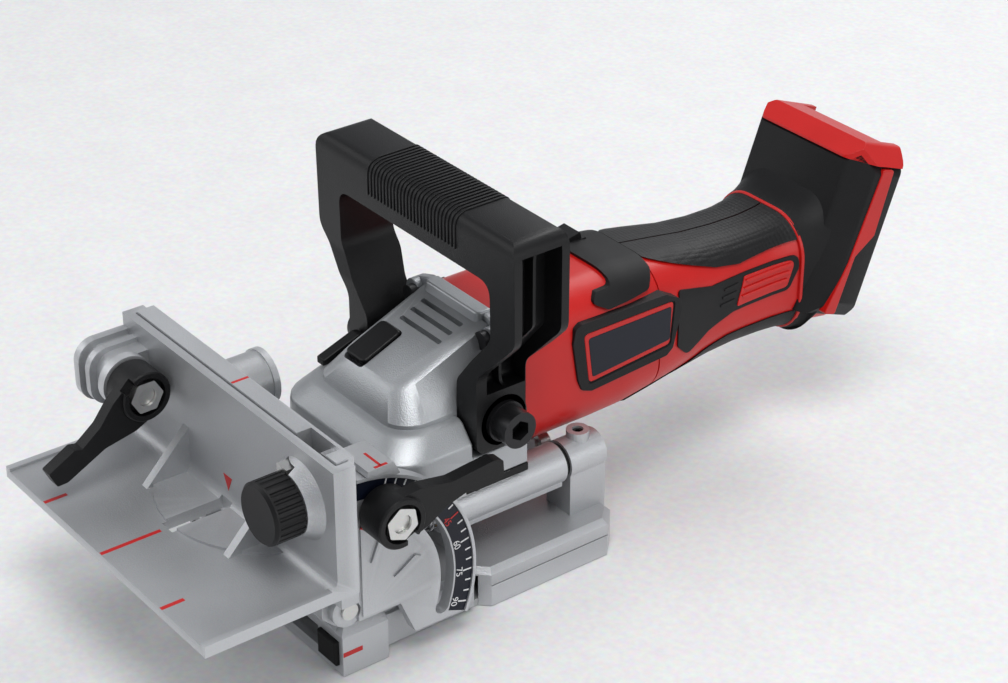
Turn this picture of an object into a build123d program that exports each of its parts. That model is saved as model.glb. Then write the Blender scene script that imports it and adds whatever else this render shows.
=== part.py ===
from build123d import *
import math
import os

# Cordless biscuit joiner, in millimetres.
# X = 0 is the plane of symmetry (+X is the user's left side, with the angle scale), Y = 0 is the
# base's front face with +Y towards the battery foot, Z = 0 is the base's flat sole.

# ------------------------------------------------------------------ driving dimensions
BLOCK_HALF = 57.5            # base front block, half width
BLOCK_DEPTH = 22.0
BLOCK_TOP = 21.5
MID_HALF = 53.5              # narrower blade chamber behind the block
REAR_HALF = 55.0             # rear base plate
REAR_FRONT, REAR_BACK = 68.0, 146.0
REAR_TOP = 18.0
BLADE_Z = 10.4               # blade's mid plane above the sole
BLADE_R = 50.0
BLADE_BORE_R = 11.0
KERF = 4.0
SPINDLE_Y = 58.0             # blade edge rests 8 mm behind the front face
PLUNGE = 22.0                # 8 mm retreat + 14 mm deepest groove
ROD_X, ROD_Z, ROD_R = 35.0, 42.0, 5.0
SLEEVE_R = 9.0
SLEEVE_FRONT, SLEEVE_BACK = 62.0, 124.7
PIVOT_Y, PIVOT_Z, PIN_R = 0.5, 35.0, 3.0
INDEX_ANGLE = 18.1           # index mark, degrees behind the vertical through the pivot
SLOT_R, SLOT_HALF = 46.5, 3.3
QUADRANT_R = 60.3
QUADRANT_IN, QUADRANT_OUT = 58.5, 64.0
FENCE_HALF = 77.5
FENCE_FRONT = -73.0
FENCE_UNDER, FENCE_THICK = 54.5, 4.0
FENCE_TOP = 112.0
PLATE_FRONT, PLATE_BACK = -14.0, -10.2       # fence's upright plate
CARRIER_FRONT, CARRIER_BACK = -9.7, -1.7     # tilting bracket's plate
KNOB_X, KNOB_Z, KNOB_R = 54.4, 89.4, 13.0
RACK_MODULE, PINION_TEETH = 1.0, 12
LEVER_REACH, LEVER_HUB_R, LEVER_HUB_L = 48.0, 11.0, 15.0
MOTOR_Z = 81.0
BEVEL_MODULE, BEVEL_PINION_TEETH, CROWN_TEETH = 1.25, 10, 28
HOUSING_BACK = 104.0
BOLT_Y, BOLT_R = 90.0, 5.0                   # front handle's bolts, at motor height
HANDLE_HALF, HANDLE_TOP = 68.0, 173.0
FOOT_TILT = 21.0                             # battery foot leans back by this angle
FOOT_Y, FOOT_Z = 297.5, 96.0                 # centre of the foot's slab
FOOT_HALF_X, FOOT_HALF_Y, FOOT_HALF_Z = 37.0, 15.5, 41.0
DUST_X, DUST_Z, DUST_BORE_R = -60.0, 70.0, 9.5   # hose spigot's axis and bore
TURRET_X, TURRET_Z, TURRET_R = 8.0, 32.0, 10.5
STOP_ANGLE = 45.0                            # stop screw's place on the turret's step circle
STEP_CIRCLE = 8.0
STEP_HEIGHTS = (0.0, 1.0, 1.7, 2.4, 4.0, 6.0)  # MAX, D, 20, S, 10 and 0 settings
FIT = 0.05                                   # radial running clearance


# ------------------------------------------------------------------ helpers
def box(x0, x1, y0, y1, z0, z1):
    return Pos((x0 + x1) / 2, (y0 + y1) / 2, (z0 + z1) / 2) * Box(x1 - x0, y1 - y0, z1 - z0)


def rod_x(y, z, x0, x1, r):
    return Pos((x0 + x1) / 2, y, z) * Rot(0, 90, 0) * Cylinder(r, x1 - x0)


def rod_y(x, z, y0, y1, r):
    return Pos(x, (y0 + y1) / 2, z) * Rot(90, 0, 0) * Cylinder(r, y1 - y0)


def rod_z(x, y, z0, z1, r):
    return Pos(x, y, (z0 + z1) / 2) * Cylinder(r, z1 - z0)


def slab_x(points, x0, x1):
    """A flat piece with its outline in (y, z), from x0 to x1."""
    face = make_face(Polyline(*[(x0, y, z) for y, z in points], close=True))
    return extrude(face, amount=x1 - x0, dir=(1, 0, 0))


def slab_y(points, y0, y1):
    """A flat piece with its outline in (x, z), from y0 to y1."""
    face = make_face(Polyline(*[(x, y0, z) for x, z in points], close=True))
    return extrude(face, amount=y1 - y0, dir=(0, 1, 0))


def slab_z(points, z0, z1):
    """A flat piece with its outline in (x, y), from z0 to z1."""
    face = make_face(Polyline(*[(x, y, z0) for x, y in points], close=True))
    return extrude(face, amount=z1 - z0, dir=(0, 0, 1))


def both(shape):
    """The shape and its mirror image in the symmetry plane."""
    return shape + mirror(shape, Plane.YZ)


def hex_bar_x(y, z, x0, x1, flats):
    prism = extrude(RegularPolygon(flats / 2, 6, major_radius=False), amount=x1 - x0)
    return Pos(x0, y, z) * Rot(0, 90, 0) * prism


def polar(angle, radius):
    """(y, z) at this angle behind the vertical and this radius from the tilt pivot."""
    a = math.radians(angle)
    return PIVOT_Y + radius * math.sin(a), PIVOT_Z + radius * math.cos(a)


def rounded_section(y, half_x, z_mid, half_z, corner):
    plane = Plane(origin=(0, y, z_mid), x_dir=(1, 0, 0), z_dir=(0, 1, 0))
    return plane * RectangleRounded(2 * half_x, 2 * half_z, corner)


def save(name, shape):
    export_step(shape, f"parts/{name}.step")


# ------------------------------------------------------------------ base
WALL_IN, WALL_OUT = 46.0, 52.5               # base side walls that carry the pivot pins
STUD_Y, STUD_Z = polar(INDEX_ANGLE, SLOT_R)


def base_casting():
    block = box(-BLOCK_HALF, BLOCK_HALF, 0, BLOCK_DEPTH, 0, BLOCK_TOP)
    block = chamfer(block.edges().filter_by(Axis.Y).group_by(Axis.Z)[-1], 3)
    block = chamfer(block.edges().filter_by(Axis.X).group_by(Axis.Z)[-1].group_by(Axis.Y)[0], 2.5)
    mid = box(-MID_HALF, MID_HALF, BLOCK_DEPTH, REAR_FRONT, 0, 20)
    mid = chamfer(mid.edges().filter_by(Axis.Y), 2.5)
    corner = 8.0
    outline = [
        (-REAR_HALF, REAR_FRONT + corner), (-REAR_HALF + corner, REAR_FRONT),
        (REAR_HALF - corner, REAR_FRONT), (REAR_HALF, REAR_FRONT + corner),
        (REAR_HALF, REAR_BACK - corner), (REAR_HALF - corner, REAR_BACK),
        (-REAR_HALF + corner, REAR_BACK), (-REAR_HALF, REAR_BACK - corner),
    ]
    rear = slab_z(outline, 0, REAR_TOP)
    rear = chamfer(rear.edges().group_by(Axis.Z)[-1], 2.5)
    body = block + mid + rear
    tower = box(ROD_X - 8, ROD_X + 8, 127, REAR_BACK, 10, ROD_Z) + rod_y(ROD_X, ROD_Z, 127, REAR_BACK, SLEEVE_R)
    tower += rod_z(ROD_X, 137, ROD_Z, 54, 5)
    front_post = box(ROD_X - 7, ROD_X + 7, 24, 34, 10, ROD_Z) + rod_y(ROD_X, ROD_Z, 24, 34, 8)
    body += both(tower + front_post)
    ear = rod_x(PIVOT_Y, PIVOT_Z, WALL_IN, WALL_OUT, 8)
    ear += box(WALL_IN, WALL_OUT, PIVOT_Y, 10, 15, PIVOT_Z + 8)
    body += both(ear)
    near_wall = [(1, 15), (38, 15), (35, 50), (30, 84), (25, 92), (4, 92), (1, 60)]
    body += slab_x(near_wall, WALL_IN, WALL_OUT)
    far_wall = [(1, 15), (34, 15), (28, 40), (18, 48), (1, 48)]
    body += slab_x(far_wall, -WALL_OUT, -WALL_IN)
    body += box(-4, 20, 79, 84, 15, TURRET_Z + 6)
    # blade chamber, open below for its cover, with the blade's slot in front and the spindle's above
    body -= box(-51, 51, 3, 112, -1, 14.8)
    body -= box(-40, 40, -1, 4, BLADE_Z - 5, BLADE_Z + 5)
    body -= box(-17, 17, 18, 76, 14, 22)
    body -= both(box(41.5, 54.8, -1, 1.5, 4, 15.8))
    body -= both(rod_y(ROD_X, ROD_Z, 20, 150, ROD_R + FIT))
    body -= both(rod_z(ROD_X, 137, ROD_Z, 60, 2.5))
    body -= both(rod_x(PIVOT_Y, PIVOT_Z, 40, 60, PIN_R + 0.02))
    groove = box(-60, 60, REAR_FRONT + 8, REAR_BACK + 1, 9.9, 10.4)
    body -= groove - box(-REAR_HALF + 0.6, REAR_HALF - 0.6, REAR_FRONT, REAR_BACK - 0.6, 9, 11)
    body -= rod_x(STUD_Y, STUD_Z, 40, 60, 4)
    body -= rod_y(TURRET_X, TURRET_Z, 76, 90, 3)
    for x, y in COVER_SCREWS:
        body += rod_z(x, y, 3.4, 15.5, 4)
        body -= rod_z(x, y, 2, 15, 1.6)
    body -= box(-60, -50, 6, 20, 6, 14)
    return body


COVER_SCREWS = [(-46.5, 8), (46.5, 8), (-46.5, 107), (46.5, 107)]


def base_cover():
    cover = box(-50.8, 50.8, 3.2, 111.8, 0, 3.4)
    for x, y in COVER_SCREWS:
        cover -= rod_z(x, y, -1, 5, 1.8) + rod_z(x, y, -1, 1.9, 3.3)
    return cover


def cover_screws():
    screws = []
    for x, y in COVER_SCREWS:
        screws.append(rod_z(x, y, 0.2, 1.9, 3.2) + rod_z(x, y, 1.9, 14, 1.55))
    return Compound(children=screws)


def grip_pads():
    pad = box(41.7, 54.6, -2, 1.5, 4.2, 15.6)
    pad = fillet(pad.edges().group_by(Axis.Y)[0], 1)
    return both(pad)


def guide_rods():
    return both(rod_y(ROD_X, ROD_Z, 24.5, 145.5, ROD_R))


def rod_setscrews():
    screw = rod_z(ROD_X, 137, ROD_Z + ROD_R, 53, 2.45)
    screw -= Pos(ROD_X, 137, 51) * extrude(RegularPolygon(1.25, 6, major_radius=False), amount=3)
    return both(screw)


def rod_bumpers():
    ring = rod_y(ROD_X, ROD_Z, SLEEVE_BACK + 0.1, 126.9, 7.8) - rod_y(ROD_X, ROD_Z, 120, 130, ROD_R + 0.02)
    return both(ring)


def return_springs():
    """Envelope of each plunge return spring, around its guide rod."""
    coil = rod_y(ROD_X, ROD_Z, 34.2, SLEEVE_FRONT - 0.2, 6.8) - rod_y(ROD_X, ROD_Z, 30, 64, 5.6)
    return both(coil)


def pivot_pins():
    pin = rod_x(PIVOT_Y, PIVOT_Z, WALL_IN, 62.1, PIN_R) + rod_x(PIVOT_Y, PIVOT_Z, 62.1, 63.3, 3.7)
    return both(pin)


def angle_index():
    block = slab_x([(8, 92), (24, 92), (21, 98), (9, 98)], WALL_IN, 66)
    block -= rod_x(PIVOT_Y, PIVOT_Z, WALL_OUT + 0.6, 70, QUADRANT_R + 0.6)
    return block


def angle_clamp_stud():
    stud = rod_x(STUD_Y, STUD_Z, WALL_IN, 57, 3.98) + rod_x(STUD_Y, STUD_Z, 57, 66, 3)
    return stud + rod_x(STUD_Y, STUD_Z, 66, 78.5, 4)


def dust_duct():
    """Upright duct beside the base, fed from the blade chamber's side."""
    duct = box(-70, -57.7, 6, 24, 4, 24) + box(-70, -59.3, 9, 24, 20, 57.5)
    duct += box(-58, -51.2, 6.2, 19.8, 6.2, 13.8)
    duct -= box(-67.5, -61.5, 11, 21.5, 7.5, 60)
    return duct - box(-64, -50, 8, 18, 7.5, 12.5)


def dust_spigot():
    """Elbow on top of the duct, with its hose spigot pointing back."""
    elbow = rod_y(DUST_X, DUST_Z, 9, 24, 12.3) + box(-70, -59.3, 9, 24, 57.6, 66)
    elbow += rod_y(DUST_X, DUST_Z, 24, 42, 12) + rod_y(DUST_X, DUST_Z, 39, 42, 12.8)
    elbow -= rod_y(DUST_X, DUST_Z, 11, 44, DUST_BORE_R)
    return elbow - box(-67.5, -61.5, 11, 21.5, 56, 66)


def turret_screw():
    return rod_y(TURRET_X, TURRET_Z, 79.2, 91.2, 2.95) + rod_y(TURRET_X, TURRET_Z, 91.2, 93.6, 4.6)


# ------------------------------------------------------------------ tilting bracket
def arc_slot():
    a0, a1 = INDEX_ANGLE - 2, INDEX_ANGLE + 92
    wedge = [(PIVOT_Y, PIVOT_Z)] + [polar(a0 + i * (a1 - a0) / 4, 90) for i in range(5)]
    ring = rod_x(PIVOT_Y, PIVOT_Z, 50, 70, SLOT_R + SLOT_HALF) - rod_x(PIVOT_Y, PIVOT_Z, 50, 70, SLOT_R - SLOT_HALF)
    slot = ring & slab_x(wedge, 50, 70)
    for a in (a0, a1):
        y, z = polar(a, SLOT_R)
        slot += rod_x(y, z, 50, 70, SLOT_HALF)
    return slot


def quadrant_region(r_in, r_out, x0, x1, a0=4, a1=112.5):
    """A ring sector about the tilt pivot, between two radii and two angles."""
    wedge = [(PIVOT_Y, PIVOT_Z)] + [polar(a0 + i * (a1 - a0) / 5, 110) for i in range(6)]
    ring = rod_x(PIVOT_Y, PIVOT_Z, x0, x1, r_out) - rod_x(PIVOT_Y, PIVOT_Z, x0 - 1, x1 + 1, r_in)
    return ring & slab_x(wedge, x0, x1)


POCKET = (46.5, 66.0, CARRIER_FRONT - 0.1, -3.2, 60.5)     # rack pocket: x0, x1, y0, y1, floor


def tilt_bracket():
    body = box(-73, 73, CARRIER_FRONT, CARRIER_BACK, 46, 113)
    ear = [(CARRIER_FRONT, 62), (CARRIER_FRONT, 33), (-4, 27.5), (5, 27.5), (9, 33),
           (9, 38), (3, 46), (CARRIER_BACK, 54), (CARRIER_BACK, 62)]
    body += both(slab_x(ear, WALL_OUT + 0.6, QUADRANT_IN) + rod_x(PIVOT_Y, PIVOT_Z, 53.1, 62, 7.5))
    plate = [(4, 29.3), (24, 29.3), (31, 12.6), (70, 12.6), (70, 100), (4, 100)]
    quadrant = slab_x(plate, QUADRANT_IN, QUADRANT_OUT) & rod_x(
        PIVOT_Y, PIVOT_Z, QUADRANT_IN, QUADRANT_OUT, QUADRANT_R)
    quadrant += box(QUADRANT_IN, 62, CARRIER_BACK - 2, 6, 30, 92)
    quadrant += quadrant_region(58.9, QUADRANT_R, QUADRANT_OUT - 1, QUADRANT_OUT + 0.8)
    quadrant += rod_x(PIVOT_Y, PIVOT_Z, 62, QUADRANT_OUT + 0.9, 38) & slab_x(
        [(5.5, 31), (24, 31), (60, 31), (60, 80), (5.5, 80)], 62, 70)
    body += quadrant
    body -= quadrant_region(50.6, 58.9, QUADRANT_OUT - 0.4, QUADRANT_OUT + 2)
    body -= arc_slot()
    body -= both(rod_x(PIVOT_Y, PIVOT_Z, 50, 70, PIN_R + FIT))
    body -= both(rod_x(PIVOT_Y, PIVOT_Z, 62, 70, 4.4))
    body -= both(rod_x(PIVOT_Y, PIVOT_Z, 44, WALL_OUT + 0.6, 9.5))
    x0, x1, y0, y1, floor = POCKET
    body -= box(x0, x1, y0, y1, floor, 114)
    return body


def angle_scale():
    """Thin label let into the quadrant, which carries the degree marks."""
    return quadrant_region(50.7, 58.8, QUADRANT_OUT - 0.4, QUADRANT_OUT)


RACK_PITCH_X = KNOB_X + RACK_MODULE * PINION_TEETH / 2


def height_rack():
    pitch = math.pi * RACK_MODULE
    bar = box(RACK_PITCH_X + 1.2, POCKET[1] - 0.02, -9.2, POCKET[3] - 0.02, POCKET[4] + 0.02, 111.5)
    count = 8
    for i in range(-count, count):
        z = KNOB_Z + (i + 0.5) * pitch
        tooth = [(RACK_PITCH_X + 1.3, z - 1.1), (RACK_PITCH_X + 1.3, z + 1.1),
                 (RACK_PITCH_X - 0.8, z + 0.36), (RACK_PITCH_X - 0.8, z - 0.36)]
        if z > POCKET[4] + 1.5 and z < 110:
            bar += slab_y(tooth, -9.2, POCKET[3] - 0.02)
    return bar


# ------------------------------------------------------------------ fence
CLAMP_Y, CLAMP_Z = -26.4, 94.2


def fence_plate():
    top = FENCE_UNDER + FENCE_THICK
    body = box(-FENCE_HALF, FENCE_HALF, FENCE_FRONT, PLATE_BACK, FENCE_UNDER, top)
    body += box(-FENCE_HALF, FENCE_HALF, PLATE_FRONT, PLATE_BACK, FENCE_UNDER, FENCE_TOP)
    body += both(box(73.4, FENCE_HALF, PLATE_BACK, -4.2, FENCE_UNDER, FENCE_TOP))
    body += both(box(FENCE_HALF - 3.2, FENCE_HALF, FENCE_FRONT, PLATE_FRONT, top, top + 1.2))
    cove = box(-FENCE_HALF, FENCE_HALF, PLATE_FRONT - 6, PLATE_FRONT, top, top + 6)
    body += cove - rod_x(PLATE_FRONT - 6, top + 6, -80, 80, 6)
    body += both(slab_x([(PLATE_FRONT, 80), (-35, top), (PLATE_FRONT, top)], 29, 33))
    body += rod_z(0, 10, top, top + 1.2, 51) & box(-50, 50, -60, PLATE_FRONT, top, top + 2)
    # stepped block that the height lever clamps
    for x0, x1, y, z0, z1, r in ((-77.5, -73.5, -38, 78, 106, 9), (-73.5, -70, -35, 80.5, 103.5, 8),
                                 (-70, -66.5, -37, 79, 105, 9), (-66.5, -58, -34, 81.5, 103, 8)):
        step = box(x0, x1, y, PLATE_FRONT, z0, z1)
        body += fillet(step.edges().filter_by(Axis.X).group_by(Axis.Y)[0], r)
    body += rod_x(CLAMP_Y, CLAMP_Z, -58, -53.6, 11.5)
    boss = Pos(KNOB_X, -16.75, KNOB_Z) * Rot(90, 0, 0) * Cone(17, 13, 5.5)
    body += boss & box(30, 73.4, -20, PLATE_FRONT, 60, FENCE_TOP)
    body -= rod_y(KNOB_X, KNOB_Z, -25, -9, PIN_R + FIT)
    body -= box(46.5, 54.9, -20, -9, 95.6, 104.6)
    body -= box(-4, 4, -43, PLATE_FRONT - 1, 50, 70)
    body -= rod_x(CLAMP_Y, CLAMP_Z, -80, -50, 4.05)
    body -= hex_bar_x(CLAMP_Y, CLAMP_Z, -78, -72, 13.2)
    return body


def height_detent():
    """Sprung metal block beside the knob that steadies the chosen height."""
    return box(46.5, 53.5, -19.4, PLATE_BACK, 96.8, 103.4)


def height_clamp_bolt():
    return rod_x(CLAMP_Y, CLAMP_Z, -72, -39.9, 4) + hex_bar_x(CLAMP_Y, CLAMP_Z, -77, -72, 13)


def pinion_shaft():
    shaft = rod_y(KNOB_X, KNOB_Z, -31, -4.0, PIN_R)
    root = RACK_MODULE * (PINION_TEETH / 2 - 1.15)
    tip = RACK_MODULE * (PINION_TEETH / 2 + 0.8)
    gear = rod_y(KNOB_X, KNOB_Z, -9.2, -4.4, root)
    tooth = slab_y([(root - 0.8, -1.05), (tip, -0.34), (tip, 0.34), (root - 0.8, 1.05)], -9.2, -4.4)
    for i in range(PINION_TEETH):
        gear += Pos(KNOB_X, 0, KNOB_Z) * Rot(0, i * 360 / PINION_TEETH, 0) * tooth
    return shaft + gear


def height_knob():
    knob = rod_y(KNOB_X, KNOB_Z, -33.5, -20, KNOB_R)
    knob = chamfer(knob.edges().group_by(Axis.Y)[0], 1.2)
    for i in range(24):
        a = math.radians(i * 15)
        knob -= rod_y(KNOB_X + KNOB_R * math.cos(a), KNOB_Z + KNOB_R * math.sin(a), -31.5, -19, 0.9)
    return knob - rod_y(KNOB_X, KNOB_Z, -31, -19, PIN_R + 0.02)


def clamp_lever(x, y, z, angle):
    """Moulded clamping lever on an X axis; its arm points angle degrees above +Y."""
    hub = rod_x(0, 0, 0, LEVER_HUB_L, LEVER_HUB_R)
    arm = slab_x([(0, -9), (22, -5), (LEVER_REACH - 12, -5), (LEVER_REACH, -7.5), (LEVER_REACH + 2, 2),
                  (LEVER_REACH - 1, 4.5), (22, 5), (0, 9)], 6.5, LEVER_HUB_L - 1)
    body = hub + arm
    body -= rod_x(0, 0, -1, 20, 4.1)
    body -= rod_x(0, 0, LEVER_HUB_L - 1, LEVER_HUB_L + 1, 8.4)
    body -= hex_bar_x(0, 0, LEVER_HUB_L - 7, LEVER_HUB_L, 13.1)
    return Pos(x, y, z) * Rot(angle, 0, 0) * body


def lever_nut(x, y, z, angle):
    nut = hex_bar_x(0, 0, LEVER_HUB_L - 7, LEVER_HUB_L - 0.2, 13.0)
    nut = nut & Pos(LEVER_HUB_L - 3.5, 0, 0) * Rot(0, 90, 0) * Cylinder(7.3, 10)
    return Pos(x, y, z) * Rot(angle, 0, 0) * (nut - rod_x(0, 0, 0, 20, 4.1))


HEIGHT_LEVER = (-53.2, CLAMP_Y, CLAMP_Z, 210.7)
ANGLE_LEVER = (65.2, STUD_Y, STUD_Z, 8.6)


# ------------------------------------------------------------------ motor unit: gearbox end
ROOF_SLOPE = 0.41


def roof_z(y):
    return 110.2 + ROOF_SLOPE * (y - 92.1)


def gear_housing():
    def layer(z, half_x, y0, y1, corner):
        plane = Plane(origin=(0, (y0 + y1) / 2, z))
        return plane * RectangleRounded(2 * half_x, y1 - y0, corner)

    body = loft([layer(54.5, 44, 35, HOUSING_BACK, 15), layer(74, 42.5, 36, HOUSING_BACK, 15)], ruled=True)
    body += loft([layer(74, 42.5, 36, HOUSING_BACK, 15), layer(86, 33, 46, HOUSING_BACK, 12)], ruled=True)
    body += loft([layer(86, 30, 49, HOUSING_BACK, 12), layer(122, 21, 62, HOUSING_BACK, 8)], ruled=True)
    flange = extrude(rounded_section(97, 33, 81, 35, 18), amount=HOUSING_BACK - 97, dir=(0, 1, 0))
    body += flange & box(-50, 50, 90, 110, 54.5, 130)
    body -= slab_x([(20, roof_z(20)), (97, roof_z(97)), (97, 140), (20, 140)], -60, 60)
    body -= both(box(31.2, 60, 74, 101.5, 64, 140))
    body += both(rod_x(BOLT_Y, MOTOR_Z, 20, 31.2, 7))
    # gear chamber, bearing seats and the fan's inlet
    body -= rod_z(0, SPINDLE_Y, 54, 77.5, 20.8)
    body -= rod_z(0, SPINDLE_Y, 77, 86.6, 6.02)
    body -= rod_y(0, MOTOR_Z, 68, 84, 9.5)
    body -= rod_y(0, MOTOR_Z, 83.5, 91, 11.02)
    body -= rod_y(0, MOTOR_Z, 90.5, 105, 24)
    body -= both(rod_x(BOLT_Y, MOTOR_Z, 26, 40, BOLT_R + 0.03))
    for x, z in HOUSING_SCREWS:
        body -= rod_y(x, z, 96, 106, 2.05) + rod_y(x, z, 70, 97, 4.2)
    body -= LOCK_TILT * box(-7.2, 7.2, -12.1, 10.9, -7, 6)
    body -= rod_z(LOCK_X, LOCK_Y, 70, 100, 2.05)
    for y in (81.2, 86.7, 92.1):
        body -= Pos(0, y, roof_z(y)) * Rot(math.degrees(math.atan(ROOF_SLOPE)), 0, 0) * Box(28, 1.8, 4)
    return body


HOUSING_SCREWS = [(-25, 107.5), (25, 107.5), (-25, 62), (25, 62)]
LOCK_X, LOCK_Y = -11.0, 62.0
LOCK_TILT = Pos(-12, 66, roof_z(66)) * Rot(math.degrees(math.atan(ROOF_SLOPE)), 0, 0)


def housing_screws():
    screws = []
    for x, z in HOUSING_SCREWS:
        screws.append(rod_y(x, z, 97, 112, 2.0) + rod_y(x, z, 93, 97, 4))
    return Compound(children=screws)


def lock_button():
    cap = LOCK_TILT * box(-6.8, 6.8, -10.5, 10.5, -2.5, 1.0)
    return fillet(cap.edges().group_by(Axis.Z)[-1], 0.4) + rod_z(LOCK_X, LOCK_Y, 74.4, roof_z(LOCK_Y) - 0.5, 2)


def slide_carriage():
    """Plate under the gearbox with the two sleeves that run on the guide rods."""
    body = box(-44, 44, 36, HOUSING_BACK, 51, 54.5)
    body = fillet(body.edges().filter_by(Axis.Z), 10)
    sleeve = rod_y(ROD_X, ROD_Z, SLEEVE_FRONT, SLEEVE_BACK, SLEEVE_R)
    sleeve += box(ROD_X - 6, ROD_X + 6, SLEEVE_FRONT, HOUSING_BACK, 44, 51.5)
    sleeve += box(ROD_X + 2, ROD_X + 6.5, SLEEVE_FRONT + 8, SLEEVE_BACK - 1, 33.6, 36)
    body += both(sleeve) + rod_z(0, SPINDLE_Y, 34, 51.5, 20)
    body -= both(rod_y(ROD_X, ROD_Z, 60, 126, 7))
    body -= rod_z(0, SPINDLE_Y, 30, 46.4, 16.02) + rod_z(0, SPINDLE_Y, 30, 60, 12)
    # lug behind the depth turret that the stop screw is threaded through
    body += box(STOP_X - 6, STOP_X + 6, 97, 103.7, 43, 52)
    body += box(STOP_X - 6, STOP_X + 6, 97, 126, 43, 45.8)
    body += box(STOP_X - 6, STOP_X + 6, 118, 126, STOP_Z - 5, 45.8)
    return body - rod_y(STOP_X, STOP_Z, 110, 130, 2.5)


def slide_bushings():
    def bush(y0, y1):
        return rod_y(ROD_X, ROD_Z, y0, y1, 6.98) - rod_y(ROD_X, ROD_Z, 50, 130, ROD_R + FIT)
    return both(bush(SLEEVE_FRONT + 0.2, 76)) + both(bush(111, SLEEVE_BACK - 0.2))


def ring_z(z0, z1, r_out, r_in):
    return rod_z(0, SPINDLE_Y, z0, z1, r_out) - rod_z(0, SPINDLE_Y, z0 - 1, z1 + 1, r_in)


def ring_y(y0, y1, r_out, r_in):
    return rod_y(0, MOTOR_Z, y0, y1, r_out) - rod_y(0, MOTOR_Z, y0 - 1, y1 + 1, r_in)


def spindle_bearings():
    return ring_z(34, 46.2, 16, 6.03) + ring_z(78, 86.4, 6, 4.03)


def bearing_retainer():
    return ring_z(31, 33.9, 18, 8)


def spindle():
    shaft = rod_z(0, SPINDLE_Y, 4.2, 9.4, 4.9) + rod_z(0, SPINDLE_Y, 9.4, 64, 6)
    return shaft + rod_z(0, SPINDLE_Y, 64, 86, 4) + rod_z(0, SPINDLE_Y, 46.4, 48, 8)


CROWN_R = BEVEL_MODULE * CROWN_TEETH / 2
MESH_Z = MOTOR_Z - BEVEL_MODULE * BEVEL_PINION_TEETH / 2


def crown_gear():
    """Face gear under the motor's pinion; its teeth are radial ridges."""
    root_z = MESH_Z - 1.3
    gear = ring_z(65, root_z, CROWN_R + 2.1, 4.02) + ring_z(64, 65, 9, 4.02)
    tooth = slab_y([(-1.05, root_z - 0.3), (1.05, root_z - 0.3), (0.42, MESH_Z + 0.9), (-0.42, MESH_Z + 0.9)],
                   CROWN_R - 2, CROWN_R + 2)
    for i in range(CROWN_TEETH):
        gear += Pos(0, SPINDLE_Y, 0) * Rot(0, 0, (i + 0.5) * 360 / CROWN_TEETH) * tooth
    gear -= ring_z(70, 80, 14.4, 9)
    for i in range(4):
        gear -= Pos(0, SPINDLE_Y, 0) * Rot(0, 0, i * 90 + 45) * rod_z(11.7, 0, 60, 80, 2.3)
    return gear


def motor_pinion():
    root = BEVEL_MODULE * BEVEL_PINION_TEETH / 2 - 1.4
    tip = BEVEL_MODULE * BEVEL_PINION_TEETH / 2 + 0.9
    y0, y1 = SPINDLE_Y + CROWN_R - 2.2, SPINDLE_Y + CROWN_R + 2.2
    gear = rod_y(0, MOTOR_Z, y0, y1 + 4, root)
    tooth = slab_y([(-1.15, root - 1), (1.15, root - 1), (0.42, tip), (-0.42, tip)], y0, y1)
    for i in range(BEVEL_PINION_TEETH):
        gear += Pos(0, 0, MOTOR_Z) * Rot(0, i * 360 / BEVEL_PINION_TEETH, 0) * tooth
    return gear - rod_y(0, MOTOR_Z, 60, 90, 3.02)


def inner_flange():
    flange = ring_z(BLADE_Z + 1.4, 17, 15, 6.02) + ring_z(9.6, BLADE_Z + 1.4, 10.95, 6.02)
    return flange + ring_z(17, 24, 9, 6.02)


def saw_blade():
    """100 mm disc with a 22 mm bore and six 4 mm wide carbide teeth."""
    blade = ring_z(BLADE_Z - 1.4, BLADE_Z + 1.4, BLADE_R - 2, BLADE_BORE_R)
    tooth = box(-1.2, 3.0, BLADE_R - 9, BLADE_R - 0.2, BLADE_Z - KERF / 2, BLADE_Z + KERF / 2)
    gullet = rod_z(-4.5, BLADE_R - 4, 0, 20, 4.2)
    for i in range(6):
        turn = Pos(0, SPINDLE_Y, 0) * Rot(0, 0, i * 60 + 20)
        blade -= turn * gullet
        blade += turn * tooth
    return blade


def outer_flange():
    flange = ring_z(4.4, BLADE_Z - 1.4, 15, 4.95)
    for a in (0, 180):
        x, y = 11 * math.cos(math.radians(a)), SPINDLE_Y + 11 * math.sin(math.radians(a))
        flange -= rod_z(x, y, 4, 7.5, 2)
    return flange


# ------------------------------------------------------------------ motor unit: front handle
def d_handle():
    arm_x = [(HANDLE_HALF, HANDLE_TOP - 3), (HANDLE_HALF, 131), (45, 105), (45, 66), (31.3, 66),
             (31.3, 99), (52, 125), (52, HANDLE_TOP - 12)]
    arm = slab_y(arm_x, 76, 104)
    profile = rod_x(BOLT_Y, MOTOR_Z, 20, 80, 11.2) + box(20, 80, 76, 101.2, MOTOR_Z, 112)
    profile += box(20, 80, 78, 105, 112, 180)
    arm = arm & profile
    trough = [(80, 167), (56.5, 167), (56.5, 126), (36, 101), (36, 98), (80, 98)]
    arm -= slab_y(trough, 82.5, 90.2) + slab_y(trough, 92.8, 100.5)
    arm -= rod_x(BOLT_Y, MOTOR_Z, 20, 60, BOLT_R + 0.05)
    grip = box(-HANDLE_HALF, HANDLE_HALF, 77.5, 105, 151, HANDLE_TOP)
    grip = fillet(grip.edges().filter_by(Axis.X), 5)
    grip = fillet(grip.edges().filter_by(Axis.Y).group_by(Axis.Z)[-1], 6)
    return both(arm) + grip


def handle_washers():
    return both(rod_x(BOLT_Y, MOTOR_Z, 45, 47, 9) - rod_x(BOLT_Y, MOTOR_Z, 40, 50, BOLT_R + 0.1))


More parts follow.
